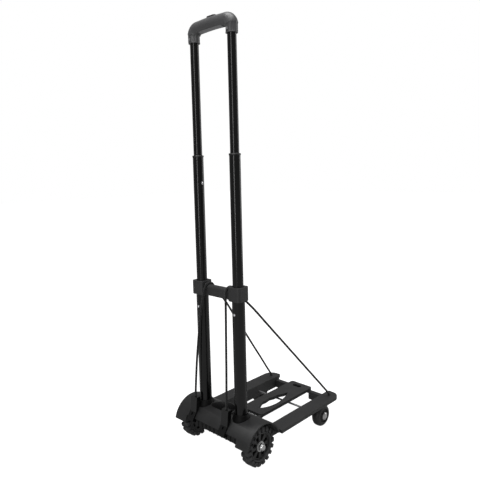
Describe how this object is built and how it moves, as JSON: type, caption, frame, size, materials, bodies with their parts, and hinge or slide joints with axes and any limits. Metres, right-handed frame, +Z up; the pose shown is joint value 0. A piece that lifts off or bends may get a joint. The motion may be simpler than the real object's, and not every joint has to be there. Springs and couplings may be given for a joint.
{
  "type": "folding hand truck",
  "caption": "Folding hand truck with a telescopic twin-tube handle, a fold-up load platform, large rear wheels, small front wheels and elastic cords.",
  "frame": {"origin": "on the floor, under the middle of the whole object's width and depth", "axes": "+Z up along the handle; +Y from the handle to the front of the platform; +X to the right of someone behind it"},
  "size_m": [0.234, 0.3496, 0.9511],
  "materials": {
    "housing_plastic": "satin",
    "chassis_plastic": "matte",
    "boot_rubber": "matte",
    "tube_paint": "gloss",
    "crossbar_plastic": "matte",
    "guide_plastic": "satin",
    "pin_steel": "satin",
    "spring_steel": "satin",
    "grip_plastic": "satin",
    "grip_cover_plastic": "satin",
    "button_plastic": "gloss",
    "platform_plastic": "matte",
    "hub_plastic": "satin",
    "tyre_rubber": "matte",
    "front_wheel_rubber": "satin",
    "bright_steel": "polished",
    "bare_steel": "satin",
    "cord_fabric": "woven",
    "hook_plastic": "satin"
  },
  "bodies": {
    "root": {"rear_housing": "housing_plastic", "chassis": "chassis_plastic", "left_tube_boot": "boot_rubber", "right_tube_boot": "boot_rubber", "left_lower_tube": "tube_paint", "right_lower_tube": "tube_paint", "crossbar": "crossbar_plastic", "crossbar_screws": "pin_steel", "left_lower_bush": "guide_plastic", "right_lower_bush": "guide_plastic", "lower_lock_studs": "pin_steel", "rear_axle": "bare_steel", "axle_spacers": "chassis_plastic", "axle_washers": "bright_steel", "cap_nuts": "bright_steel", "hinge_pin": "bare_steel", "left_cord": "cord_fabric", "right_cord": "cord_fabric", "left_hook": "hook_plastic", "right_hook": "hook_plastic"},
    "middle_stage": {"left_middle_tube": "tube_paint", "right_middle_tube": "tube_paint", "left_collar": "guide_plastic", "right_collar": "guide_plastic", "upper_lock_studs": "pin_steel", "left_middle_plug": "guide_plastic", "right_middle_plug": "guide_plastic", "middle_pin_springs": "spring_steel"},
    "upper_stage": {"left_upper_tube": "tube_paint", "right_upper_tube": "tube_paint", "left_upper_plug": "guide_plastic", "right_upper_plug": "guide_plastic", "left_pin_spring": "spring_steel", "right_pin_spring": "spring_steel", "grip_shell": "grip_plastic", "grip_cover": "grip_cover_plastic", "grip_screws": "pin_steel", "button_spring": "spring_steel"},
    "release": {"release_button": "button_plastic", "release_yoke": "guide_plastic", "push_rods": "spring_steel"},
    "left_lock_pin_slide": {"left_lock_pin": "pin_steel"},
    "right_lock_pin_slide": {"right_lock_pin": "pin_steel"},
    "middle_lock_pins_slide": {"middle_lock_pins": "pin_steel"},
    "platform": {"left_arm": "platform_plastic", "right_arm": "platform_plastic", "left_wheel_bracket": "chassis_plastic", "right_wheel_bracket": "chassis_plastic", "front_bar": "platform_plastic", "centre_board": "platform_plastic", "cross_rod": "bare_steel", "front_wheel_bolts": "bright_steel", "front_washers": "chassis_plastic", "cord_knots": "cord_fabric"},
    "left_rear_wheel": {"left_rear_hub": "hub_plastic", "left_rear_tyre": "tyre_rubber"},
    "right_rear_wheel": {"right_rear_hub": "hub_plastic", "right_rear_tyre": "tyre_rubber"},
    "left_front_wheel_spin": {"left_front_wheel": "front_wheel_rubber"},
    "right_front_wheel_spin": {"right_front_wheel": "front_wheel_rubber"}
  },
  "joints": [
    {"name": "middle_stage_slide", "type": "slide", "parent": "root", "child": "middle_stage", "axis": [0, 0, 1], "range_m": [-0.21, 0]},
    {"name": "upper_stage_slide", "type": "slide", "parent": "middle_stage", "child": "upper_stage", "axis": [0, 0, 1], "range_m": [-0.235, 0]},
    {"name": "release_press", "type": "slide", "parent": "upper_stage", "child": "release", "axis": [0, 0, 1], "range_m": [-0.004, 0], "stiffness_N_per_m": 400, "springref_m": 0.004, "deforming": ["button_spring"]},
    {"name": "left_pin_slide", "type": "slide", "parent": "upper_stage", "child": "left_lock_pin_slide", "axis": [1, 0, 0], "range_m": [-0.003, 0], "stiffness_N_per_m": 250, "deforming": ["left_pin_spring"]},
    {"name": "right_pin_slide", "type": "slide", "parent": "upper_stage", "child": "right_lock_pin_slide", "axis": [-1, 0, 0], "range_m": [-0.003, 0], "stiffness_N_per_m": 250, "deforming": ["right_pin_spring"]},
    {"name": "middle_pins_slide", "type": "slide", "parent": "middle_stage", "child": "middle_lock_pins_slide", "axis": [0, -1, 0], "range_m": [-0.003, 0], "stiffness_N_per_m": 250, "deforming": ["middle_pin_springs"]},
    {"name": "platform_fold", "type": "hinge", "parent": "root", "child": "platform", "pos_m": [0, -0.05016, 0.046], "axis": [1, 0, 0], "range_deg": [0, 90], "deforming": ["left_cord", "right_cord"]},
    {"name": "left_rear_wheel_spin", "type": "hinge", "parent": "root", "child": "left_rear_wheel", "pos_m": [-0.0975, -0.12116, 0.0435], "axis": [1, 0, 0], "continuous": true},
    {"name": "right_rear_wheel_spin", "type": "hinge", "parent": "root", "child": "right_rear_wheel", "pos_m": [0.0975, -0.12116, 0.0435], "axis": [1, 0, 0], "continuous": true},
    {"name": "left_front_wheel_spin", "type": "hinge", "parent": "platform", "child": "left_front_wheel_spin", "pos_m": [-0.101, 0.10784, 0.0265], "axis": [1, 0, 0], "continuous": true},
    {"name": "right_front_wheel_spin", "type": "hinge", "parent": "platform", "child": "right_front_wheel_spin", "pos_m": [0.101, 0.10784, 0.0265], "axis": [1, 0, 0], "continuous": true}
  ],
  "couplings": [
    {"joint": "left_pin_slide", "follows": "release_press", "ratio": 0.75},
    {"joint": "right_pin_slide", "follows": "release_press", "ratio": 0.75}
  ]
}
